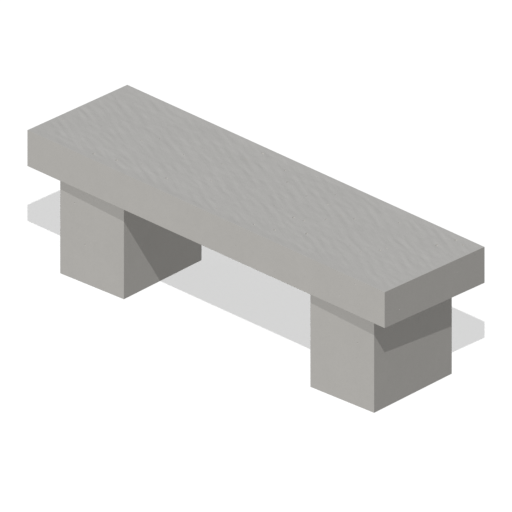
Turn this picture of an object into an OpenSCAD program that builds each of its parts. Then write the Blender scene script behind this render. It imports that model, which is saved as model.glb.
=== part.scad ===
// Backless street bench of precast reinforced concrete: a seat slab bedded in resin on two
// block supports. Steel dowels pin the slab to the blocks, and every concrete piece holds a
// tied cage of reinforcement. Millimetres, +Z up, origin on the ground at the bench's middle.

/* [Seat slab] */
// Length of the seat slab, along X
seat_l = 1500; // [1200:10:2200]
// Depth of the seat slab from front to back, along Y
seat_w = 420; // [370:5:600]
// Thickness of the seat slab
seat_t = 120; // [110:5:180]
// Height of the seat's top face above the ground
seat_h = 450; // [370:5:560]

/* [Supports] */
// Size of a support block along the bench
support_l = 255; // [200:5:360]
// Distance from the seat's long edge back to the support, before the support is turned
support_setback = 37.5; // [20:0.5:80]
// Distance from the seat's end to the middle of a support
support_inset = 225; // [180:5:320]
// Turn of both supports in plan, anticlockwise from above, in degrees
support_turn = 3; // [-8:0.5:8]
// Chamfer on every arris of the concrete
arris = 0.5; // [0.5:0.5:10]

/* [Seat reinforcement] */
// Concrete between the links and the nearest face
cover = 30; // [25:1:36]
// Diameter of the bars near the seat's underside
lower_bar_d = 10; // [8:1:12]
// Diameter of the bars near the seat's top face
upper_bar_d = 8; // [6:1:10]
// Diameter of the links round the bars
link_d = 6; // [5:0.5:8]
// Largest distance from one seat link to the next
link_pitch = 150; // [120:5:200]

/* [Support reinforcement] */
// Diameter of the upright bars in a support
upright_d = 8; // [6:1:12]
// Largest distance from one support link to the next
support_link_pitch = 90; // [60:5:120]

/* [Dowelled joint] */
// Thickness of the resin bed and its shims
bed_t = 3; // [2:0.5:10]
// Distance from the support's edge to the bed's edge
bed_recess = 10; // [4:1:20]
// Diameter of a dowel
dowel_d = 16; // [12:1:20]
// Distance from the support's front or rear face to a dowel
dowel_edge = 82.5; // [65:0.5:120]
// Length of a dowel inside the seat slab
dowel_up = 70; // [50:5:80]
// Length of a dowel inside the support
dowel_down = 85; // [60:5:110]
// Resin round a dowel, and past each of its ends
resin_gap = 4; // [3:0.5:6]
// Side of a square levelling shim
shim_side = 40; // [25:5:50]

/* [Cast-in sockets] */
// Outer diameter of a socket
socket_d = 22; // [20:1:28]
// Core diameter of the M16 thread in a socket
thread_d = 14; // [12:0.5:16]
// Depth of the thread in a socket
thread_depth = 55; // [40:5:65]
// Distance from the support's front or rear face to a ground socket
ground_edge = 82.5; // [65:0.5:120]
// Diameter of the cross pin that anchors a socket
pin_d = 8; // [6:1:10]
// Length of that cross pin
pin_l = 80; // [60:5:90]
// Diameter of the head of a socket's plug
plug_head_d = 34; // [28:1:44]

/* [Hidden] */
$fn = 48;

LEFT = -1;
RIGHT = 1;
cut = 1;           // how far a cut runs past the surface that it opens
steel_gap = 0.3;   // film of cement paste between a bar and the link that it is tied to
end_link_back = 20; // from the bars' ends to the end links
spacer_t = 6;      // thickness of a wheel spacer
spacer_skin = 1;   // concrete between a wheel spacer and the face
spacer_rim = 4;    // width of a wheel spacer's rim
spacer_hub_d = 14; // diameter of its hub
spacer_windows = 6;
window_fill = 0.72; // window's diameter as a share of the width between hub and rim
plug_head_t = 3;   // thickness of a plug's head, which is flush with the seat's underside
plug_shank_l = 16; // length of a plug's shank
plug_play = 0.2;   // gap round a plug's head and its shank, on the radius
thread_to_pin = 12; // from the end of a socket's thread to the middle of its cross pin
pin_to_end = 8;    // from there to the socket's inner end
shim_margin = 12;  // resin between a shim and the bed's edge
dowel_bevel = 2;   // bevel on a dowel's ends

// Levels and places
seat_z = seat_h - seat_t;
support_h = seat_z - bed_t;
support_x = seat_l / 2 - support_inset;
support_w = seat_w - 2 * support_setback;
dowel_y = support_w / 2 - dowel_edge;
ground_y = support_w / 2 - ground_edge;
bed = [support_l - 2 * bed_recess, support_w - 2 * bed_recess];
pin_z = thread_depth + thread_to_pin;
socket_l = pin_z + pin_to_end;

// The link that encloses a cage, and the bars that nest in its bends
link_bend = 2 * link_d;
seat_link = [seat_w - 2 * cover, seat_t - 2 * cover];
support_link = [support_l - 2 * cover, support_w - 2 * cover];
// From a link's outer face to the middle of a bar of diameter d: in a bend, and on a straight leg
function in_bend(d) = link_d + link_bend - (link_bend - d / 2 - steel_gap) / sqrt(2);
function on_leg(d) = link_d + d / 2 + steel_gap;

// Seat links: the dowels of each support lie midway between two of them
span = 2 * support_x;
inner_links = round(span / link_pitch);
inner_step = span / inner_links;
inner_link_x = [for (i = [0:inner_links - 1]) -span / 2 + inner_step * (i + 0.5)];
end_run = support_inset - cover - end_link_back - inner_step / 2;
end_bays = max(1, ceil(end_run / link_pitch));
end_link_x = [for (j = [0:end_bays]) span / 2 + inner_step / 2 + j * end_run / end_bays];

// Middles of the seat's bars across the bench: one pair in the bends, one between the dowels
function bar_outer_y(d) = seat_link.x / 2 - in_bend(d);
bar_inner_y = dowel_y / 2;

// Seat sockets: in a bay near the quarter points, midway between two bars
lift_x = span / 2 - inner_step * round(inner_links / 4);
lift_y = (bar_outer_y(lower_bar_d) + bar_inner_y) / 2;

// Support links, from the bottom of the cage to its top
upright_l = support_h - 2 * cover;
support_links = ceil((upright_l - 2 * end_link_back) / support_link_pitch);
support_link_z = [for (i = [0:support_links])
    cover + end_link_back + i * (upright_l - 2 * end_link_back) / support_links];

// ---- Shared shapes ----

module chamfered_rectangle(size, c) {
    half = size / 2;
    polygon([
        [half.x - c, half.y], [half.x, half.y - c], [half.x, c - half.y], [half.x - c, -half.y],
        [c - half.x, -half.y], [-half.x, c - half.y], [-half.x, half.y - c], [c - half.x, half.y],
    ]);
}

// A block with its arrises chamfered, centred on Z and standing on z = 0
module cast_block(l, w, h) {
    intersection() {
        linear_extrude(h) chamfered_rectangle([l, w], arris);
        translate([0, 0, h / 2]) rotate([90, 0, 90])
            linear_extrude(l, center = true) chamfered_rectangle([w, h], arris);
        translate([0, 0, h / 2]) rotate([90, 0, 0])
            linear_extrude(w, center = true) chamfered_rectangle([l, h], arris);
    }
}

module rod_x(d, l) {
    rotate([0, 90, 0]) cylinder(d = d, h = l, center = true);
}

// A closed link in the XY plane, with its outer size and round bends
module closed_link(size) {
    r = link_bend + link_d / 2;
    run = size - 2 * [link_bend + link_d, link_bend + link_d];
    for (s = [-1, 1]) {
        translate([0, s * (run.y / 2 + r), 0]) rod_x(link_d, run.x);
        translate([s * (run.x / 2 + r), 0, 0]) rotate(90) rod_x(link_d, run.y);
    }
    for (corner = [[1, 1, 0], [-1, 1, 90], [-1, -1, 180], [1, -1, 270]])
        translate([corner.x * run.x / 2, corner.y * run.y / 2, 0]) rotate(corner.z)
            rotate_extrude(angle = 90) translate([r, 0]) circle(d = link_d);
}

// A spoked wheel on a link's leg, which runs through it along Z
module wheel_spacer() {
    outer_r = cover + link_d / 2 - spacer_skin;
    web = [spacer_hub_d / 2, outer_r - spacer_rim];
    difference() {
        cylinder(r = outer_r, h = spacer_t, center = true);
        cylinder(d = link_d, h = spacer_t + 2 * cut, center = true);
        for (i = [0:spacer_windows - 1])
            rotate((i + 0.5) * 360 / spacer_windows)
                translate([(web[0] + web[1]) / 2, 0, 0])
                    cylinder(d = (web[1] - web[0]) * window_fill, h = spacer_t + 2 * cut,
                        center = true);
    }
}

// A threaded socket that opens downwards at z = 0, with a hole for its cross pin
module cast_in_socket() {
    difference() {
        cylinder(d = socket_d, h = socket_l);
        translate([0, 0, -cut]) cylinder(d = thread_d, h = thread_depth + cut);
        translate([0, 0, pin_z]) rod_x(pin_d, socket_d + 2 * cut);
    }
}

module cross_pin() {
    translate([0, 0, pin_z]) rod_x(pin_d, pin_l);
}

// The room that a socket and its pin take up in the concrete
module socket_room() {
    cylinder(d = socket_d, h = socket_l);
    cross_pin();
}

// ---- Placing ----

module at_support(side) {
    translate([side * support_x, 0, 0]) rotate(support_turn) children();
}

module at_ground_sockets(side) {
    for (s = [-1, 1]) at_support(side) translate([0, s * ground_y, 0]) children();
}

module at_dowels(side) {
    for (s = [-1, 1]) at_support(side) translate([0, s * dowel_y, support_h]) children();
}

module at_lifting_points() {
    for (sx = [-1, 1], sy = [-1, 1]) translate([sx * lift_x, sy * lift_y, seat_z]) children();
}

// ---- Seat ----

module seat_slab() {
    color("darkgray") difference() {
        translate([0, 0, seat_z]) cast_block(seat_l, seat_w, seat_t);
        seat_lower_bars();
        seat_upper_bars();
        seat_links();
        seat_wheel_spacers();
        at_lifting_points() {
            translate([0, 0, plug_head_t]) socket_room();
            translate([0, 0, -cut])
                cylinder(d = plug_head_d + 2 * plug_play, h = plug_head_t + cut);
        }
        dowel_holes(LEFT);
        dowel_holes(RIGHT);
    }
}

// Two bars in the links' bends and two between the dowels; face is 1 for the top face, -1 below
module seat_bars(d, face) {
    middle_z = seat_z + seat_t / 2;
    for (s = [-1, 1]) {
        translate([0, s * bar_outer_y(d), middle_z + face * (seat_link.y / 2 - in_bend(d))])
            rod_x(d, seat_l - 2 * cover);
        translate([0, s * bar_inner_y, middle_z + face * (seat_link.y / 2 - on_leg(d))])
            rod_x(d, seat_l - 2 * cover);
    }
}

module seat_lower_bars() {
    color("saddlebrown") seat_bars(lower_bar_d, -1);
}

module seat_upper_bars() {
    color("saddlebrown") seat_bars(upper_bar_d, 1);
}

module seat_links() {
    color("sienna")
        for (x = concat(inner_link_x, end_link_x, -end_link_x))
            translate([x, 0, seat_z + seat_t / 2]) rotate([90, 0, 90]) closed_link(seat_link);
}

// On both side legs of every other inner link
module seat_wheel_spacers() {
    leg_y = (seat_link.x - link_d) / 2;
    color("silver")
        for (i = [0:2:inner_links - 1], s = [-1, 1])
            translate([inner_link_x[i], s * leg_y, seat_z + seat_t / 2]) wheel_spacer();
}

module seat_lifting_sockets() {
    color("lightgray") at_lifting_points() translate([0, 0, plug_head_t]) cast_in_socket();
}

module seat_socket_pins() {
    color("sienna") at_lifting_points() translate([0, 0, plug_head_t]) cross_pin();
}

module seat_socket_plugs() {
    color("dimgray") at_lifting_points() {
        cylinder(d = plug_head_d, h = plug_head_t);
        cylinder(d = thread_d - 2 * plug_play, h = plug_head_t + plug_shank_l);
    }
}

// ---- Supports ----

module support(side) {
    color("darkgray") difference() {
        at_support(side) cast_block(support_l, support_w, support_h);
        upright_bars(side);
        support_links(side);
        support_wheel_spacers(side);
        at_ground_sockets(side) socket_room();
        dowel_holes(side);
    }
}

module upright_bars(side) {
    x = support_link.x / 2 - in_bend(upright_d);
    y = support_link.y / 2 - in_bend(upright_d);
    color("saddlebrown")
        for (sx = [-1, 1], sy = [-1, 1])
            at_support(side) translate([sx * x, sy * y, cover]) cylinder(d = upright_d, h = upright_l);
}

module support_links(side) {
    color("sienna")
        for (z = support_link_z) at_support(side) translate([0, 0, z]) closed_link(support_link);
}

// On all four legs of the second link from the ground
module support_wheel_spacers(side) {
    x = (support_link.x - link_d) / 2;
    y = (support_link.y - link_d) / 2;
    color("silver")
        at_support(side) translate([0, 0, support_link_z[1]])
            for (s = [-1, 1]) {
                translate([s * x, 0, 0]) rotate([90, 0, 0]) wheel_spacer();
                translate([0, s * y, 0]) rotate([0, 90, 0]) wheel_spacer();
            }
}

module ground_sockets(side) {
    color("lightgray") at_ground_sockets(side) cast_in_socket();
}

module ground_socket_pins(side) {
    color("sienna") at_ground_sockets(side) cross_pin();
}

// ---- Joint between a support and the seat ----

// The two round holes that run from the support up into the seat
module dowel_holes(side) {
    at_dowels(side) translate([0, 0, -dowel_down - resin_gap])
        cylinder(d = dowel_d + 2 * resin_gap, h = dowel_down + bed_t + dowel_up + 2 * resin_gap);
}

module dowels(side) {
    r = dowel_d / 2;
    top = bed_t + dowel_up;
    color("gainsboro") at_dowels(side) rotate_extrude() polygon([
        [0, -dowel_down], [r - dowel_bevel, -dowel_down], [r, dowel_bevel - dowel_down],
        [r, top - dowel_bevel], [r - dowel_bevel, top], [0, top],
    ]);
}

module shims(side) {
    corner = bed / 2 - [shim_margin + shim_side / 2, shim_margin + shim_side / 2];
    color("black")
        for (sx = [-1, 1], sy = [-1, 1])
            at_support(side) translate([sx * corner.x, sy * corner.y, support_h + bed_t / 2])
                cube([shim_side, shim_side, bed_t], center = true);
}

// One casting of resin: the bed, and the fill of both dowel holes above and below it
module resin_bed(side) {
    color("tan") difference() {
        union() {
            at_support(side) translate([0, 0, support_h + bed_t / 2])
                cube([bed.x, bed.y, bed_t], center = true);
            dowel_holes(side);
        }
        dowels(side);
        shims(side);
    }
}

seat_slab();
seat_lower_bars();
seat_upper_bars();
seat_links();
seat_wheel_spacers();
seat_lifting_sockets();
seat_socket_pins();
seat_socket_plugs();
support(LEFT);  // left_support
upright_bars(LEFT);  // left_upright_bars
support_links(LEFT);  // left_support_links
support_wheel_spacers(LEFT);  // left_wheel_spacers
ground_sockets(LEFT);  // left_ground_sockets
ground_socket_pins(LEFT);  // left_socket_pins
resin_bed(LEFT);  // left_resin_bed
dowels(LEFT);  // left_dowels
shims(LEFT);  // left_shims
support(RIGHT);  // right_support
upright_bars(RIGHT);  // right_upright_bars
support_links(RIGHT);  // right_support_links
support_wheel_spacers(RIGHT);  // right_wheel_spacers
ground_sockets(RIGHT);  // right_ground_sockets
ground_socket_pins(RIGHT);  // right_socket_pins
resin_bed(RIGHT);  // right_resin_bed
dowels(RIGHT);  // right_dowels
shims(RIGHT);  // right_shims
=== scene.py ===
"""A backless precast bench: one seat slab on two block supports, with its
steel, sockets, dowels and bedding. Everything is in metres, in the part's own frame."""

from math import cos, pi, radians, sin

import bmesh
import bpy
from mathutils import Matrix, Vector


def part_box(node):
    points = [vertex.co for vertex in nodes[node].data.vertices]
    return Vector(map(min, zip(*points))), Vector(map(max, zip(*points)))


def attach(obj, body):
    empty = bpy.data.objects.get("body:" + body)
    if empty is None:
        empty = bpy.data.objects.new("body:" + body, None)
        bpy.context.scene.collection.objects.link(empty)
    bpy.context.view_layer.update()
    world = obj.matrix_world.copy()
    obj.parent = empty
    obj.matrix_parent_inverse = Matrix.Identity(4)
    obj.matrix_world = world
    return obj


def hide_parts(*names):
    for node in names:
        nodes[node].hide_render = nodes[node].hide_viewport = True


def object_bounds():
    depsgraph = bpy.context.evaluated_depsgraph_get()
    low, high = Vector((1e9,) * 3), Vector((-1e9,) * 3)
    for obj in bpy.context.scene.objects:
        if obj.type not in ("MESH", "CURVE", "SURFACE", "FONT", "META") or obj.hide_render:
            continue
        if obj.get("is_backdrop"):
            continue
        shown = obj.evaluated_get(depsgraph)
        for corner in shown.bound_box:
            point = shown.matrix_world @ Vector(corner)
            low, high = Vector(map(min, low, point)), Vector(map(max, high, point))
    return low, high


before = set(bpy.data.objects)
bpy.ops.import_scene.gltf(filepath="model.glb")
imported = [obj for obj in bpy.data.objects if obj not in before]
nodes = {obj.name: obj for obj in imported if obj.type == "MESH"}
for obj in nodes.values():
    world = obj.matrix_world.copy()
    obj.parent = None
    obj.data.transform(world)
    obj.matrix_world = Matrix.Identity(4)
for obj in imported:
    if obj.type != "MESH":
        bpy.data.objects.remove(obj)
cad_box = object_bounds()
scene = bpy.context.scene
MM = 0.001
BODY = "root"
SIDES = ("left", "right")

# The bench's own sizes, as it was cast.
SUPPORT_TURN = 3.0  # degrees, anticlockwise from above
SUPPORT_PLAN = (255 * MM, 345 * MM)
ARRIS = 0.5 * MM
SKIN = 0.1 * MM  # how far each cast face is drawn inside the nominal one


# --- Node trees ---------------------------------------------------------------


def pick(sockets, key):
    """A live socket, by its name or by its place in the row."""
    live = [s for s in sockets if s.enabled]
    return live[key] if isinstance(key, int) else next(s for s in live if s.name == key)


def add(tree, kind, inputs=None, out=0, **settings):
    """Adds a node, fills its inputs with numbers or links, and returns one of its outputs.
    With out=None, or where it has no output, the node itself is returned."""
    made = tree.nodes.new(kind)
    for key, value in settings.items():
        setattr(made, key, value)
    for key, value in (inputs or {}).items():
        socket = pick(made.inputs, key)
        for part in value if isinstance(value, list) else [value]:
            if isinstance(part, bpy.types.NodeSocket):
                tree.links.new(part, socket)
            else:
                socket.default_value = part
    if out is None or not made.outputs:
        return made
    return pick(made.outputs, out)


class Tree:
    """Short names for the nodes that the trees below use most."""

    def __init__(self, tree):
        self.tree = tree

    def add(self, kind, inputs=None, out=0, **settings):
        return add(self.tree, kind, inputs, out, **settings)

    def math(self, operation, *values):
        return self.add("ShaderNodeMath", dict(enumerate(values)), operation=operation)

    def vector(self, operation, *values):
        return self.add("ShaderNodeVectorMath", dict(enumerate(values)), operation=operation)

    def remap(self, value, low, high, to_low=0.0, to_high=1.0, smooth=False):
        return self.add(
            "ShaderNodeMapRange",
            {"Value": value, "From Min": low, "From Max": high, "To Min": to_low, "To Max": to_high},
            interpolation_type="SMOOTHSTEP" if smooth else "LINEAR",
        )

    def remap_vector(self, value, low, high, to_low, to_high):
        return self.add(
            "ShaderNodeMapRange",
            {"Vector": value, "From Min": low, "From Max": high, "To Min": to_low, "To Max": to_high},
            data_type="FLOAT_VECTOR",
        )

    def choose(self, fac, a, b):
        """The number a where fac is 0, and b where it is 1."""
        return self.add("ShaderNodeMix", {"Factor": fac, "A": a, "B": b}, data_type="FLOAT")

    def noise(self, vector, scale, detail=2.0, roughness=0.5, distortion=0.0):
        inputs = {"Vector": vector, "Scale": scale, "Detail": detail}
        inputs.update({"Roughness": roughness, "Distortion": distortion})
        return self.add("ShaderNodeTexNoise", inputs)

    def turned(self, vector, angle):
        """The vector turned about Z by the angle."""
        inputs = {"Vector": vector, "Angle": angle}
        return self.add("ShaderNodeVectorRotate", inputs, rotation_type="Z_AXIS")

    def dot(self, a, b):
        return self.add("ShaderNodeVectorMath", {0: a, 1: b}, out="Value", operation="DOT_PRODUCT")

    def split(self, vector):
        return [self.add("ShaderNodeSeparateXYZ", {0: vector}, out=i) for i in range(3)]

    def join(self, x, y, z):
        return self.add("ShaderNodeCombineXYZ", {"X": x, "Y": y, "Z": z})


class Form(Tree):
    """A tree of geometry steps, with named inputs for the sizes of what it makes."""

    def __init__(self, name, **inputs):
        super().__init__(bpy.data.node_groups.new(name, "GeometryNodeTree"))
        for label, kind in inputs.items():
            self.tree.interface.new_socket(
                label.replace("_", " "), in_out="INPUT", socket_type="NodeSocket" + kind
            )
        self.tree.interface.new_socket(
            "Geometry", in_out="OUTPUT", socket_type="NodeSocketGeometry"
        )
        held = self.tree.nodes.new("NodeGroupInput").outputs
        self.given = {s.name: s for s in held if s.name}

    def __getitem__(self, label):
        return self.given[label]

    def random(self, low, high, seed):
        inputs = {"Min": low, "Max": high, "Seed": seed}
        return self.add("FunctionNodeRandomValue", inputs, data_type="FLOAT")

    def moved(self, geometry, **how):
        """The points moved, to their Position or by their Offset."""
        return self.add("GeometryNodeSetPosition", {"Geometry": geometry, **how})

    def cut(self, geometry, cutters):
        inputs = {"Mesh 1": geometry, "Mesh 2": cutters}
        return self.add("GeometryNodeMeshBoolean", inputs, operation="DIFFERENCE", solver="MANIFOLD")

    def joined(self, *parts):
        return self.add("GeometryNodeMeshBoolean", {0: list(parts)}, operation="UNION", solver="MANIFOLD")

    def common(self, *parts):
        return self.add("GeometryNodeMeshBoolean", {0: list(parts)}, operation="INTERSECT", solver="MANIFOLD")

    def real(self, instances):
        return self.add("GeometryNodeRealizeInstances", {"Geometry": instances})

    def mesh_of(self, label):
        """The mesh of the object that the input named label holds."""
        return self.add("GeometryNodeObjectInfo", {"Object": self[label]}, out="Geometry")

    def finish(self, geometry, materials, crease=30.0):
        """Ends the tree: one real mesh, smooth but for the creases, with each (selection, material)."""
        made = self.real(geometry)
        made = self.add("GeometryNodeRemoveAttribute", {"Geometry": made, "Name": "custom_normal"})
        made = self.add("GeometryNodeSetShadeSmooth", {"Geometry": made, "Shade Smooth": True})
        angle = self.add("GeometryNodeInputMeshEdgeAngle", out="Unsigned Angle")
        sharp = self.math("GREATER_THAN", angle, radians(crease))
        made = self.add(
            "GeometryNodeSetShadeSmooth",
            {"Geometry": made, "Selection": sharp, "Shade Smooth": False},
            domain="EDGE",
        )
        for selection, material in materials:
            inputs = {"Geometry": made, "Material": material}
            if selection is not None:
                inputs["Selection"] = selection
            made = self.add("GeometryNodeSetMaterial", inputs)
        self.add("NodeGroupOutput", {0: made})
        return self


def shape(name, form, replaces=(), slot=None, **values):
    """Runs a tree with its inputs set, and keeps the result as a plain mesh on the body."""
    piece = bpy.data.objects.new(name, bpy.data.meshes.new(name))
    scene.collection.objects.link(piece)
    modifier = piece.modifiers.new("form", "NODES")
    modifier.node_group = form.tree
    for socket in form.tree.interface.items_tree:
        if socket.in_out == "INPUT":
            modifier[socket.identifier] = values[socket.name.replace(" ", "_")]
    depsgraph = bpy.context.evaluated_depsgraph_get()
    mesh = bpy.data.meshes.new_from_object(piece.evaluated_get(depsgraph), depsgraph=depsgraph)
    piece.modifiers.remove(modifier)
    # A boolean can leave an empty material slot, which no face uses.
    for place in reversed(range(len(mesh.materials))):
        if mesh.materials[place] is None:
            mesh.materials.pop(index=place)
    piece.data = mesh
    mesh.name = name
    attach(piece, BODY)
    if replaces:
        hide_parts(*replaces)
    return piece


def casting_of(node):
    """A merged copy of a CAD node, so that its hollows can be cut from a finished piece."""
    work = bmesh.new()
    work.from_mesh(nodes[node].data)
    bmesh.ops.remove_doubles(work, verts=work.verts, dist=0.002 * MM)
    mesh = bpy.data.meshes.new("casting_" + node)
    work.to_mesh(mesh)
    work.free()
    made = bpy.data.objects.new("casting_" + node, mesh)
    scene.collection.objects.link(made)
    return made


# --- Finishes -----------------------------------------------------------------


def finish_tree(name):
    """An empty finish: its tree, its shader and the point on the piece."""
    material = bpy.data.materials.new(name)
    material.use_nodes = True
    tree = material.node_tree
    tree.nodes.clear()
    shader = tree.nodes.new("ShaderNodeBsdfPrincipled")
    output = tree.nodes.new("ShaderNodeOutputMaterial")
    tree.links.new(shader.outputs[0], output.inputs["Surface"])
    made = Tree(tree)
    point = made.add("ShaderNodeTexCoord", out="Object")
    return material, made, shader, point


def tint(t, stops, fac):
    """A colour ramp from (place, (r, g, b)) stops."""
    ramp = t.tree.nodes.new("ShaderNodeValToRGB")
    t.tree.links.new(fac, ramp.inputs["Fac"])
    band = ramp.color_ramp
    while len(band.elements) < len(stops):
        band.elements.new(0.5)
    for element, (place, colour) in zip(band.elements, stops):
        element.position = place
        element.color = (*colour, 1)
    return ramp.outputs["Color"]


def shaded(t, colour, tone):
    """The colour times the tone, which is 1 where nothing changes."""
    inputs = {"Factor": 1.0, "A": colour, "B": t.join(tone, tone, tone)}
    return t.add("ShaderNodeMix", inputs, data_type="RGBA", blend_type="MULTIPLY")


def skin(t, shader, colour, rough, strength, distance, height):
    """Gives the shader its colour, its roughness and a bump of the given depth."""
    bump = t.add("ShaderNodeBump", {"Strength": strength, "Distance": distance, "Height": height})
    for label, source in (("Base Color", colour), ("Roughness", rough), ("Normal", bump)):
        t.tree.links.new(source, shader.inputs[label])


def grey(value, warm):
    """A grey whose green and blue fall off by the two shares in warm."""
    return (value, value * warm[0], value * warm[1])


def concrete(name, value, warm, grain=1.0, brushed=0.0, turn=0.0):
    """Cast concrete: cement paste with sand in it, clouds from the form, and pinholes that are bumped in and
    darkened inside as painted shade.
    A top also has brush marks, turned as the float was swept."""
    material, t, shader, point = finish_tree(name)
    sand = t.noise(point, 620, 3, 0.65)
    speck = t.noise(point, 1500, 1, 0.5)
    clouds = t.noise(point, 9, 4, 0.6, 0.4)
    paste = t.noise(point, 55, 3, 0.55)
    tone = t.remap(clouds, 0.3, 0.7, 0.985, 1.015)
    tone = t.math("MULTIPLY", tone, t.remap(paste, 0.3, 0.7, 0.99, 1.01))
    tone = t.math("MULTIPLY", tone, t.remap(sand, 0.3, 0.7, 1 - 0.07 * grain, 1 + 0.07 * grain))
    tone = t.math("MULTIPLY", tone, t.remap(speck, 0.62, 0.72, 1.0, 0.9, smooth=True))
    height = t.math("MULTIPLY", sand, 0.35)
    if brushed:
        marks = t.noise(t.vector("MULTIPLY", t.turned(point, -turn), (16, 240, 16)), 1, 3, 0.6, 0.2)
        tone = t.math("MULTIPLY", tone, t.remap(marks, 0.3, 0.7, 1 - 0.02 * brushed, 1 + 0.02 * brushed))
        height = t.math("ADD", height, t.math("MULTIPLY", marks, 0.9 * brushed))
    holes = t.add("ShaderNodeTexVoronoi", {"Vector": point, "Scale": 95.0}, out="Distance")
    open_hole = t.remap(holes, 0.05, 0.11, 1.0, 0.0, smooth=True)
    few = t.remap(t.noise(point, 47, 1, 0.5), 0.58, 0.64, 0.0, 1.0, smooth=True)
    pin = t.math("MULTIPLY", open_hole, few)
    # Painted shade: the grey is darkened inside the pinholes, and the next line sinks them as a bump.
    tone = t.math("MULTIPLY", tone, t.remap(pin, 0, 1, 1.0, 0.72))
    height = t.math("SUBTRACT", height, t.math("MULTIPLY", pin, 1.5))
    rough = t.remap(sand, 0.3, 0.7, 0.84, 0.94)
    colour = shaded(t, (*grey(value, warm), 1), tone)
    skin(t, shader, colour, rough, 0.35, 0.4 * MM, height)
    shader.inputs["Specular IOR Level"].default_value = 0.25
    return material


TOP_TURN = radians(-28)  # how the float was swept across the top

CONCRETE_GREY = 0.40
FORMED = (0.972, 0.920)
# The top's green and blue fall off less than on the formed faces: painted light, a cooler tint on the top
# that stands for bluish light from above.
TOP_SKY_TINT = (0.988, 0.960)
top_finish = concrete("rippled_top_concrete", CONCRETE_GREY, TOP_SKY_TINT, brushed=1.0, turn=TOP_TURN)
side_finish = concrete("formed_seat_concrete", CONCRETE_GREY, FORMED)
under_finish = concrete("underside_concrete", 0.385, FORMED, grain=1.3)
support_finish = concrete("formed_support_concrete", CONCRETE_GREY, FORMED, grain=0.9)
# A darker grey for the upper arris and the rims of the top's pits: painted shade on these upward slants,
# which would otherwise catch the light.
arris_shade_paint = concrete("rubbed_arris_concrete", 0.31, FORMED, grain=1.6)
bearing_finish = concrete("bearing_face_concrete", 0.38, FORMED, grain=1.4)


def metal(name, base, patch, scale, spread, roughness, metallic, height):
    """A metal whose skin varies between two colours in patches, with fine pits in it."""
    material, t, shader, point = finish_tree(name)
    patches = t.noise(point, scale, 4, 0.62, 0.3)
    grain = t.noise(point, scale * 14, 2, 0.6)
    low, high = 0.5 - spread, 0.5 + spread
    colour = tint(t, [(low, base), (high, patch)], patches)
    colour = shaded(t, colour, t.remap(grain, 0.3, 0.7, 0.86, 1.1))
    rough = t.remap(t.math("ADD", patches, t.math("MULTIPLY", grain, 0.3)), 0.45, 0.85, *roughness)
    skin(t, shader, colour, rough, 0.5, height, t.math("ADD", grain, patches))
    shader.inputs["Metallic"].default_value = metallic
    return material


def brushed_metal(name, base, lines, roughness):
    """Turned stainless bar: fine rings round its length, which is upright."""
    material, t, shader, point = finish_tree(name)
    rings = t.noise(t.vector("MULTIPLY", point, (40, 40, lines)), 1, 3, 0.6)
    colour = shaded(t, (*base, 1), t.remap(rings, 0.3, 0.7, 0.9, 1.06))
    skin(t, shader, colour, t.remap(rings, 0.3, 0.7, *roughness), 0.25, 0.05 * MM, rings)
    shader.inputs["Metallic"].default_value = 1.0
    return material


def plastic(name, base, mould, roughness, specular=0.45):
    """Moulded plastic: an even colour with a faint flow in it, and the mould's fine texture."""
    material, t, shader, point = finish_tree(name)
    flow = t.noise(point, 45, 3, 0.5, 0.8)
    grain = t.noise(point, mould, 2, 0.6)
    colour = shaded(t, (*base, 1), t.remap(flow, 0.3, 0.7, 0.93, 1.05))
    skin(t, shader, colour, t.remap(grain, 0.3, 0.7, *roughness), 0.3, 0.08 * MM, grain)
    shader.inputs["Specular IOR Level"].default_value = specular
    return material


def resin(name, base):
    """Filled bedding resin: fine quartz in a grey binder, slightly glossy between the grains."""
    material, t, shader, point = finish_tree(name)
    grains = t.add("ShaderNodeTexVoronoi", {"Vector": point, "Scale": 700.0}, out="Distance")
    clouds = t.noise(point, 30, 3, 0.6)
    tone = t.math("MULTIPLY", t.remap(grains, 0.1, 0.6, 1.14, 0.9), t.remap(clouds, 0.3, 0.7, 0.95, 1.05))
    colour = shaded(t, (*base, 1), tone)
    rough = t.remap(grains, 0.1, 0.6, 0.4, 0.7)
    skin(t, shader, colour, rough, 0.4, 0.2 * MM, t.math("ADD", clouds, grains))
    return material


ribbed_finish = metal(
    "mill_scale_steel", (0.085, 0.075, 0.070), (0.240, 0.105, 0.045), 55, 0.12, (0.5, 0.85), 0.6, 0.12 * MM
)
link_finish = metal(
    "drawn_wire_steel", (0.130, 0.120, 0.115), (0.230, 0.120, 0.060), 80, 0.16, (0.4, 0.8), 0.7, 0.08 * MM
)
zinc_finish = metal(
    "galvanised_zinc", (0.430, 0.450, 0.470), (0.560, 0.570, 0.580), 130, 0.10, (0.35, 0.6), 0.9, 0.04 * MM
)
dowel_finish = brushed_metal("turned_stainless", (0.560, 0.555, 0.545), 1800, (0.22, 0.38))
spacer_finish = plastic("spacer_moulding", (0.165, 0.170, 0.175), 1200, (0.45, 0.6))
plug_finish = plastic("plug_moulding", (0.330, 0.330, 0.325), 1500, (0.5, 0.65))
shim_finish = plastic("shim_moulding", (0.045, 0.110, 0.240), 1500, (0.4, 0.55))
resin_finish = resin("quartz_filled_resin", (0.270, 0.262, 0.245))

# What each inner piece of the CAD model is made of, for those that keep their CAD shape.
PLAIN_PIECES = {
    "seat_links": link_finish,
    "seat_wheel_spacers": spacer_finish,
    "seat_socket_pins": link_finish,
    "seat_socket_plugs": plug_finish,
}
for side in SIDES:
    PLAIN_PIECES.update(
        {
            side + "_support_links": link_finish,
            side + "_wheel_spacers": spacer_finish,
            side + "_socket_pins": link_finish,
            side + "_resin_bed": resin_finish,
            side + "_dowels": dowel_finish,
            side + "_shims": shim_finish,
        }
    )
for node, finish in PLAIN_PIECES.items():
    for place in nodes[node].material_slots:
        place.material = finish


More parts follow.
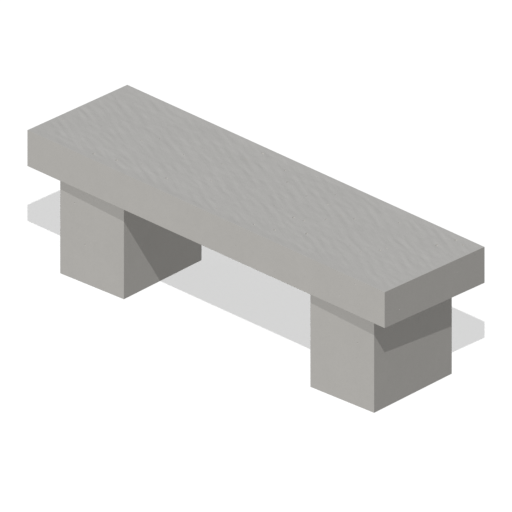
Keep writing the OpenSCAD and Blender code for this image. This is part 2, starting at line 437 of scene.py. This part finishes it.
# --- Cast blocks --------------------------------------------------------------

EDGE_FADE = 30 * MM  # the swept top's ripples fade out over this strip along the edges
HOLES_CLEAR = 14 * MM  # holes stay this far inside the edges
CELLS_PER_STREAK = 2.0  # noise cells along and across one streak


def block_on_grid(f, size, half, inside, step):
    """A block of grid points. The outermost row of cells is as wide as the arris.
    The rest share what is left."""
    counts = [f["Points along"], f["Points across"], f["Points up"]]
    cell = f.vector("DIVIDE", size, f.join(*[f.math("SUBTRACT", c, 1.0) for c in counts]))
    inputs = {"Size": size, "Vertices X": counts[0], "Vertices Y": counts[1], "Vertices Z": counts[2]}
    block = f.add("GeometryNodeMeshCube", inputs)
    here = f.add("GeometryNodeInputPosition")
    inner = f.vector("SUBTRACT", half, cell)
    back = [f.vector("SCALE", v, -1.0) for v in (half, inner, inside, step)]
    middle = f.remap_vector(here, back[1], inner, back[2], inside)
    low = f.remap_vector(here, back[0], back[1], back[3], (0, 0, 0))
    high = f.remap_vector(here, inner, half, (0, 0, 0), step)
    return f.moved(block, Position=f.vector("ADD", middle, f.vector("ADD", low, high)))


def arris_pull(f, here, half, inside, strewn):
    """How a point on an edge or a corner is drawn in: onto the flat of the chamfer,
    and deeper where the arris is chipped."""
    outer = f.remap_vector(f.vector("ABSOLUTE", here), inside, half, (0, 0, 0), (1, 1, 1))
    faces = f.math("MAXIMUM", f.dot(outer, (1, 1, 1)), 1.0)
    drawn = f.math("MULTIPLY", f["Arris"], f.math("SUBTRACT", 1.0, f.math("DIVIDE", 1.0, faces)))
    chip = f.math("MULTIPLY", f["Chip"], f.remap(f.noise(strewn, 42, 3, 0.6), 0.55, 0.75))
    drawn = f.math("MULTIPLY", drawn, f.math("ADD", 1.0, chip))
    return f.vector("SCALE", f.vector("MULTIPLY", f.vector("SIGN", here), outer), drawn)


def swept_drop(f, here, half, strewn):
    """How far down the swept top lies. Its ripples are an even pitch apart but wander, with short
    streaks among them, and both fade out at the edges."""
    swept = f.turned(strewn, f.math("MULTIPLY", f["Ripple turn"], -1.0))
    wander = f.math("MULTIPLY", f.noise(f.vector("MULTIPLY", swept, (4, 7, 0)), 1.0, 2), 10.0)
    turns = f.math("MULTIPLY", f.math("DIVIDE", f.split(swept)[1], f["Ripple pitch"]), 2 * pi)
    wave = f.remap(f.math("SINE", f.math("ADD", turns, wander)), -1.0, 1.0)
    worn = f.remap(f.noise(f.vector("MULTIPLY", swept, (7, 16, 0)), 1.0, 1), 0.35, 0.65, 0.1, 1.0)
    wave = f.math("MULTIPLY", f.math("MULTIPLY", wave, worn), f["Ripple height"])
    cells = [f.math("DIVIDE", CELLS_PER_STREAK, f[k]) for k in ("Streak length", "Streak width")]
    streak = f.noise(f.vector("MULTIPLY", swept, f.join(*cells, 0.0)), 1.0, 2, 0.5)
    streak = f.math("POWER", f.remap(streak, 0.25, 0.8), 1.6)
    streak = f.math("MULTIPLY", streak, f["Streak height"])
    room = f.split(f.vector("SUBTRACT", half, f.vector("ABSOLUTE", here)))
    fade = f.remap(f.math("MINIMUM", room[0], room[1]), f["Arris"], EDGE_FADE, smooth=True)
    on_top = f.math("GREATER_THAN", f.split(here)[2], f.math("MULTIPLY", f.split(half)[2], 0.999))
    return f.math("MULTIPLY", f.math("MULTIPLY", on_top, fade), f.math("ADD", wave, streak))


def hole_places(f, block, here, half):
    """Points strewn over the block's faces, clear of the arrises.
    The top gets its own share, the underside none."""
    clear = f.vector("SUBTRACT", half, (HOLES_CLEAR,) * 3)
    near = f.remap_vector(f.vector("ABSOLUTE", here), clear, half, (0, 0, 0), (1, 1, 1))
    flat = f.math("LESS_THAN", f.dot(near, (1, 1, 1)), 1.001)
    level_face = f.math("GREATER_THAN", f.split(near)[2], 0.5)
    upper_share = f.math("MULTIPLY", f["Top holes"], f.math("GREATER_THAN", f.split(here)[2], 0.0))
    inputs = {
        "Mesh": block, "Selection": flat, "Distance Min": f["Hole spacing"],
        "Density Max": f["Hole density"], "Density Factor": f.choose(level_face, 1.0, upper_share),
        "Seed": f["Seed"],
    }
    strewn = f.add("GeometryNodeDistributePointsOnFaces", inputs, out=None, distribute_method="POISSON")
    return [pick(strewn.outputs, label) for label in ("Points", "Normal", "Rotation")]


def holes(f, block, here, half):
    """The bubbles to cut out: blowholes in the formed sides, a few large and many small,
    and open pits on top."""
    points, normal, rotation = hole_places(f, block, here, half)
    bubble = f.add("GeometryNodeMeshIcoSphere", {"Radius": 1.0, "Subdivisions": 2})
    lump = f.math("MULTIPLY", f.math("SUBTRACT", f.noise(here, 1.3, 1), 0.5), 0.9)
    bubble = f.moved(bubble, Offset=f.vector("SCALE", f.add("GeometryNodeInputNormal"), lump))
    many_small = f.math("POWER", f.random(0.0, 0.92, 5), 3.0)
    blowhole = f.math("MULTIPLY", f["Hole radius"], f.math("ADD", 0.22, many_small))
    pit = f.math("MULTIPLY", f["Pit radius"], f.random(0.35, 1.0, 10))
    radius = f.choose(f.math("GREATER_THAN", f.split(normal)[2], 0.5), blowhole, pit)
    stretch = f.join(f.random(0.8, 1.3, 6), f.random(0.8, 1.1, 7), f.random(0.4, 0.65, 8))
    inputs = {"Points": points, "Instance": bubble, "Rotation": rotation}
    inputs["Scale"] = f.vector("SCALE", stretch, radius)
    bubbles = f.add("GeometryNodeInstanceOnPoints", inputs)
    inputs = {"Instances": bubbles, "Rotation": f.join(0.0, 0.0, f.random(0.0, 2 * pi, 9))}
    return f.real(f.add("GeometryNodeRotateInstances", inputs))


def faces_by_finish(f, here, half):
    """(selection, material) for the formed sides, the swept top, the underside, and the upper arris
    with the rims of the pits, which get a darker grey as painted shade."""
    facing = f.split(f.add("GeometryNodeInputNormal"))[2]
    level = f.split(f.vector("SUBTRACT", here, f["Centre"]))[2]
    edge = f.math("SUBTRACT", f.split(half)[2], 1.5 * MM)
    high = f.math("GREATER_THAN", level, edge)
    low = f.math("LESS_THAN", level, f.math("MULTIPLY", edge, -1.0))
    slanted = f.math("MULTIPLY", f.math("GREATER_THAN", facing, 0.3), f.math("LESS_THAN", facing, 0.9))
    return [
        (None, f["Sides"]),
        (f.math("MULTIPLY", f.math("GREATER_THAN", facing, 0.9), high), f["Top"]),
        (f.math("MULTIPLY", f.math("LESS_THAN", facing, -0.9), low), f["Underside"]),
        # The upward slants along the top, the upper arris and the pit rims, in the darker grey of painted
        # shade.
        (f.math("MULTIPLY", slanted, high), f["Upper arris"]),
    ]


def cast_block_form():
    """A cast block on a grid: chamfered and slightly chipped arrises, a swept top,
    holes in its faces, and every hollow of the casting cut into it."""
    f = Form(
        "cast_block",
        Size="Vector", Centre="Vector", Turn="Float", Skin="Float",
        Points_along="Int", Points_across="Int", Points_up="Int",
        Arris="Float", Chip="Float",
        Ripple_height="Float", Ripple_pitch="Float", Ripple_turn="Float",
        Streak_height="Float", Streak_length="Float", Streak_width="Float",
        Hole_spacing="Float", Hole_density="Float", Hole_radius="Float", Top_holes="Float",
        Pit_radius="Float", Seed="Int",
        Casting="Object", Top="Material", Sides="Material", Underside="Material", Upper_arris="Material",
    )
    step = f.join(*[f["Arris"]] * 3)
    skin_twice = f.math("MULTIPLY", f["Skin"], 2.0)
    size = f.vector("SUBTRACT", f["Size"], f.join(*[skin_twice] * 3))
    half = f.vector("SCALE", size, 0.5)
    inside = f.vector("SUBTRACT", half, step)
    here = f.add("GeometryNodeInputPosition")
    strewn = f.vector("ADD", here, f.join(f["Seed"], 0.0, 0.0))
    block = block_on_grid(f, size, half, inside, step)
    pull = arris_pull(f, here, half, inside, strewn)
    drop = f.join(0.0, 0.0, swept_drop(f, here, half, strewn))
    block = f.moved(block, Offset=f.vector("SCALE", f.vector("ADD", pull, drop), -1.0))
    block = f.cut(block, holes(f, block, here, half))
    inputs = {"Geometry": block, "Translation": f["Centre"], "Rotation": f.join(0.0, 0.0, f["Turn"])}
    block = f.common(f.add("GeometryNodeTransform", inputs), f.mesh_of("Casting"))
    return f.finish(block, faces_by_finish(f, here, half))


cast_block = cast_block_form()


def cast(name, node, centre, size, turn, points, materials, slot, **values):
    """One cast block in place of a CAD node, with that node's hollows in it."""
    casting = casting_of(node)
    given = dict(
        Skin=SKIN, Arris=ARRIS, Chip=0.8,
        Ripple_height=0.0, Ripple_pitch=0.031, Ripple_turn=TOP_TURN,
        Streak_height=0.0, Streak_length=0.11, Streak_width=0.022, Top_holes=0.0, Pit_radius=0.0,
        Points_along=points[0], Points_across=points[1], Points_up=points[2],
        Top=materials[0], Sides=materials[1], Underside=materials[2], Upper_arris=arris_shade_paint,
    )
    given.update(values)
    shape(name, cast_block, [node], slot, Size=size, Centre=centre, Turn=turn, Casting=casting, **given)
    bpy.data.objects.remove(casting)


low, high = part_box("seat_slab")
cast(
    "seat_slab_cast", "seat_slab", (low + high) / 2, high - low, 0.0, (151, 106, 19),
    (top_finish, side_finish, under_finish), "seat_concrete",
    Ripple_height=0.64 * MM, Streak_height=1.6 * MM, Hole_spacing=0.022, Hole_density=200.0,
    Hole_radius=2.4 * MM, Top_holes=0.4, Pit_radius=5 * MM, Seed=3,
)
for side, seed in zip(SIDES, (11, 24)):
    low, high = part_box(side + "_support")
    size = (*SUPPORT_PLAN, high.z - low.z)
    cast(
        side + "_support_cast", side + "_support", (low + high) / 2, size, radians(SUPPORT_TURN),
        (34, 45, 43), (bearing_finish, support_finish, bearing_finish), "support_concrete",
        Hole_spacing=0.02, Hole_density=300.0, Hole_radius=2.4 * MM, Seed=seed,
    )


# --- Ribbed bars and threaded sockets ------------------------------------------


def solids_of(node):
    """(middle, size) of each separate solid in a CAD node."""
    work = bmesh.new()
    work.from_mesh(nodes[node].data)
    bmesh.ops.remove_doubles(work, verts=work.verts, dist=0.002 * MM)
    left, found = set(work.verts), []
    while left:
        front = [left.pop()]
        solid = list(front)
        while front:
            front = [o for v in front for e in v.link_edges for o in (e.other_vert(v),) if o in left]
            front = list(dict.fromkeys(front))
            left.difference_update(front)
            solid += front
        low, high = (Vector([end(v.co[i] for v in solid) for i in range(3)]) for end in (min, max))
        found.append(((low + high) / 2, high - low))
    work.free()
    return sorted(found, key=lambda solid: tuple(round(x, 5) for x in solid[0]))


def places_object(name, places):
    """Loose points that a tree puts its copies on."""
    mesh = bpy.data.meshes.new(name)
    mesh.from_pydata([tuple(p) for p in places], [], [])
    made = bpy.data.objects.new(name, mesh)
    scene.collection.objects.link(made)
    return made


def ribbed_bars_form():
    """Hot rolled bar: a round core, two ribs along it, and slanted crescent ribs on both sides.
    Each pair of crescents is one slanted ring, whose ends sink into the core."""
    f = Form(
        "ribbed_bars",
        Places="Object", Length="Float", Diameter="Float", Lie="Vector",
        Rib_height="Float", Rib_width="Float", Rib_pitch="Float", Rib_slant="Float", Steel="Material",
    )
    radius = f.math("MULTIPLY", f["Diameter"], 0.5)
    half_rib = f.math("MULTIPLY", f["Rib width"], 0.5)
    inputs = {"Vertices": 20, "Radius": f.math("SUBTRACT", radius, f["Rib height"]), "Depth": f["Length"]}
    core = f.add("GeometryNodeMeshCylinder", inputs)
    # The two ribs along it are a blade through the core, slightly narrower and lower than the crescents.
    width = f.math("MULTIPLY", f["Rib width"], 0.8)
    reach = f.math("SUBTRACT", f["Diameter"], f.math("MULTIPLY", f["Rib height"], 0.4))
    size = f.join(width, reach, f.math("SUBTRACT", f["Length"], 0.4 * MM))
    bar = f.joined(core, f.add("GeometryNodeMeshCube", {"Size": size}))
    path = {"Resolution": 14, "Radius": f.math("SUBTRACT", radius, half_rib)}
    section = {"Resolution": 4, "Radius": half_rib}
    path, section = (f.add("GeometryNodeCurvePrimitiveCircle", inputs) for inputs in (path, section))
    ring = f.add("GeometryNodeCurveToMesh", {"Curve": path, "Profile Curve": section})
    slant = f.join(f["Rib slant"], 0.0, 0.0)
    ring = f.add("GeometryNodeTransform", {"Geometry": ring, "Rotation": slant})
    # The rings stand in a row that stays clear of both ends.
    clear = f.math("SUBTRACT", f["Length"], f.math("MULTIPLY", f["Rib pitch"], 1.5))
    count = f.math("FLOOR", f.math("DIVIDE", clear, f["Rib pitch"]))
    start = f.math("MULTIPLY", f.math("MULTIPLY", f.math("SUBTRACT", count, 1.0), f["Rib pitch"]), -0.5)
    inputs = {"Count": count, "Start Location": f.join(0.0, 0.0, start)}
    inputs["Offset"] = f.join(0.0, 0.0, f["Rib pitch"])
    row = f.add("GeometryNodeMeshLine", inputs)
    bar = f.joined(bar, f.real(f.add("GeometryNodeInstanceOnPoints", {"Points": row, "Instance": ring})))
    bar = f.add("GeometryNodeTransform", {"Geometry": bar, "Rotation": f["Lie"]})
    bars = f.add("GeometryNodeInstanceOnPoints", {"Points": f.mesh_of("Places"), "Instance": bar})
    return f.finish(bars, [(None, f["Steel"])], crease=40.0)


ribbed_bars = ribbed_bars_form()


def bars(name, node):
    """The ribbed bars of one node, each where its plain CAD bar is."""
    solids = solids_of(node)
    size = solids[0][1]
    lying = size.x > size.z
    diameter = min(size)
    places = places_object(name + "_places", [middle for middle, _ in solids])
    shape(
        name, ribbed_bars, [node], "ribbed_steel", Places=places, Length=max(size), Diameter=diameter,
        Lie=(0, radians(90), 0) if lying else (0, 0, 0), Steel=ribbed_finish, Rib_height=0.065 * diameter,
        Rib_width=0.17 * diameter, Rib_pitch=0.75 * diameter, Rib_slant=radians(35),
    )
    bpy.data.objects.remove(places)


for group in ("seat_lower", "seat_upper", "left_upright", "right_upright"):
    bars(group + "_ribbed_bars", group + "_bars")


BORE_RADIUS = 7 * MM
THREAD_PITCH = 2 * MM
THREAD_LENGTH = 51 * MM
THREAD_RUN_IN = 2 * MM


def threaded_sockets_form():
    """Cast-in sockets with a thread cut into the bore of each one, up from its mouth."""
    f = Form(
        "threaded_sockets",
        Casting="Object", Places="Object", Bore_radius="Float", Thread_pitch="Float",
        Thread_length="Float", Zinc="Material",
    )
    inputs = {
        "Resolution": 18, "Rotations": f.math("DIVIDE", f["Thread length"], f["Thread pitch"]),
        "Start Radius": f["Bore radius"], "End Radius": f["Bore radius"], "Height": f["Thread length"],
    }
    spiral = f.add("GeometryNodeCurveSpiral", inputs)
    spiral = f.add("GeometryNodeSetCurveNormal", {0: spiral}, mode="Z_UP")
    inputs = {"Resolution": 4, "Radius": f.math("MULTIPLY", f["Thread pitch"], 0.42)}
    section = f.add("GeometryNodeCurvePrimitiveCircle", inputs)
    inputs = {"Curve": spiral, "Profile Curve": section, "Fill Caps": True}
    groove = f.add("GeometryNodeCurveToMesh", inputs)
    inputs = {"Points": f.mesh_of("Places"), "Instance": groove}
    grooves = f.real(f.add("GeometryNodeInstanceOnPoints", inputs))
    return f.finish(f.cut(f.mesh_of("Casting"), grooves), [(None, f["Zinc"])], crease=32.0)


threaded_sockets = threaded_sockets_form()


def sockets(name, node):
    """The sockets of one node, each threaded from its lower end."""
    casting = casting_of(node)
    mouths = [middle - Vector((0, 0, size.z / 2 - THREAD_RUN_IN)) for middle, size in solids_of(node)]
    places = places_object(name + "_places", mouths)
    shape(
        name, threaded_sockets, [node], "galvanised_steel", Casting=casting, Places=places,
        Bore_radius=BORE_RADIUS, Thread_pitch=THREAD_PITCH, Thread_length=THREAD_LENGTH, Zinc=zinc_finish,
    )
    bpy.data.objects.remove(casting)
    bpy.data.objects.remove(places)


sockets("seat_threaded_sockets", "seat_lifting_sockets")
for side in SIDES:
    sockets(side + "_threaded_sockets", side + "_ground_sockets")


# --- Room, light and camera ---------------------------------------------------

FLOOR_REACH = 40.0
FLOOR_GREY = 0.3


def floor():
    """A plain pale floor, which is seen from above only."""
    mesh = bpy.data.meshes.new("floor")
    r = FLOOR_REACH
    mesh.from_pydata([(-r, -r, 0), (r, -r, 0), (r, r, 0), (-r, r, 0)], [], [(0, 1, 2, 3)])
    made = bpy.data.objects.new("floor", mesh)
    scene.collection.objects.link(made)
    material = bpy.data.materials.new("floor_paint")
    material.use_nodes = True
    tree = material.node_tree
    tree.nodes.clear()
    t = Tree(tree)
    paint = t.add("ShaderNodeBsdfDiffuse", {"Color": (FLOOR_GREY, FLOOR_GREY, FLOOR_GREY, 1)})
    under = t.add("ShaderNodeNewGeometry", out="Backfacing")
    seen = t.add("ShaderNodeMixShader", {0: under, 1: paint, 2: t.add("ShaderNodeBsdfTransparent")})
    t.add("ShaderNodeOutputMaterial", {"Surface": seen})
    mesh.materials.append(material)
    made.visible_diffuse = False
    made.visible_glossy = False
    made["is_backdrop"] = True
    return made


def sun(name, towards, strength, shadow, for_floor):
    """A far light from the direction towards. It lights either the floor alone or all but the floor."""
    light = bpy.data.lights.new(name, "SUN")
    light.energy = strength
    light.angle = radians(0.5 if shadow else 20)
    light.use_shadow = shadow
    light.specular_factor = 1.0 if shadow else 0.3
    made = bpy.data.objects.new(name, light)
    made.rotation_euler = Vector(towards).to_track_quat("Z", "Y").to_euler()
    scene.collection.objects.link(made)
    lit = bpy.data.collections.new(name + "_lights")
    lit.objects.link(ground)
    lit.collection_objects[0].light_linking.link_state = "INCLUDE" if for_floor else "EXCLUDE"
    made.light_linking.receiver_collection = lit
    return made


def heading(azimuth, elevation):
    """The direction to a viewer or a light, with azimuth 0 at the front and 90 at the right."""
    a, e = radians(azimuth), radians(elevation)
    return Vector((cos(e) * sin(a), -cos(e) * cos(a), sin(e)))


ground = floor()
PER_GREY = pi / CONCRETE_GREY  # the strength that lights a face of the concrete's own grey to 1
PER_PAINT = pi / FLOOR_GREY
KEY_FROM = heading(45, 48.75)
KEY_TOP = 0.122  # the share that the key light gives the top
FLOOR_KEY, FLOOR_FILL = 0.36, 0.612
FILLS = {
    "left_fill": Vector((-0.150, -0.148, 0.10)),
    "right_fill": Vector((0.079, -0.107, 0.111)),
    "back_fill": Vector((0.0, 0.17, -0.08)),
}
sun("key_light", KEY_FROM, KEY_TOP / KEY_FROM.z * PER_GREY, True, False)
sun("floor_key", KEY_FROM, FLOOR_KEY / KEY_FROM.z * PER_PAINT, True, True)
for name, towards in FILLS.items():
    sun(name, towards, towards.length * PER_GREY, False, False)
sun("floor_fill", Vector((0, 0, 1)), FLOOR_FILL * PER_PAINT, False, True)

world = bpy.data.worlds.new("room")
scene.world = world
world.use_nodes = True
world.node_tree.nodes.clear()
w = Tree(world.node_tree)
soft = w.add("ShaderNodeBackground", {"Color": (0.2, 0.2, 0.2, 1)})
wall = w.add("ShaderNodeBackground", {"Color": (1, 1, 1, 1)})
seen = w.add("ShaderNodeLightPath", out="Is Camera Ray")
w.add("ShaderNodeOutputWorld", {"Surface": w.add("ShaderNodeMixShader", {0: seen, 1: soft, 2: wall})})

VIEW_AZIMUTH, VIEW_ELEVATION = 45.0, 27.0
VIEW_DISTANCE = 20.0
lens = bpy.data.cameras.new("camera")
lens.type = "ORTHO"
lens.ortho_scale = 1.5194
lens.clip_end = 10 * VIEW_DISTANCE
camera = bpy.data.objects.new("camera", lens)
scene.collection.objects.link(camera)
centre = (Vector(cad_box[0]) + Vector(cad_box[1])) / 2
camera.location = centre + VIEW_DISTANCE * heading(VIEW_AZIMUTH, VIEW_ELEVATION)
camera.rotation_euler = (radians(90 - VIEW_ELEVATION), 0, radians(VIEW_AZIMUTH))
scene.camera = camera
scene.view_settings.view_transform = "Standard"

sizes = {"cad": cad_box, "visual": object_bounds()}
sizes = {name: [[float(x) for x in corner] for corner in box] for name, box in sizes.items()}
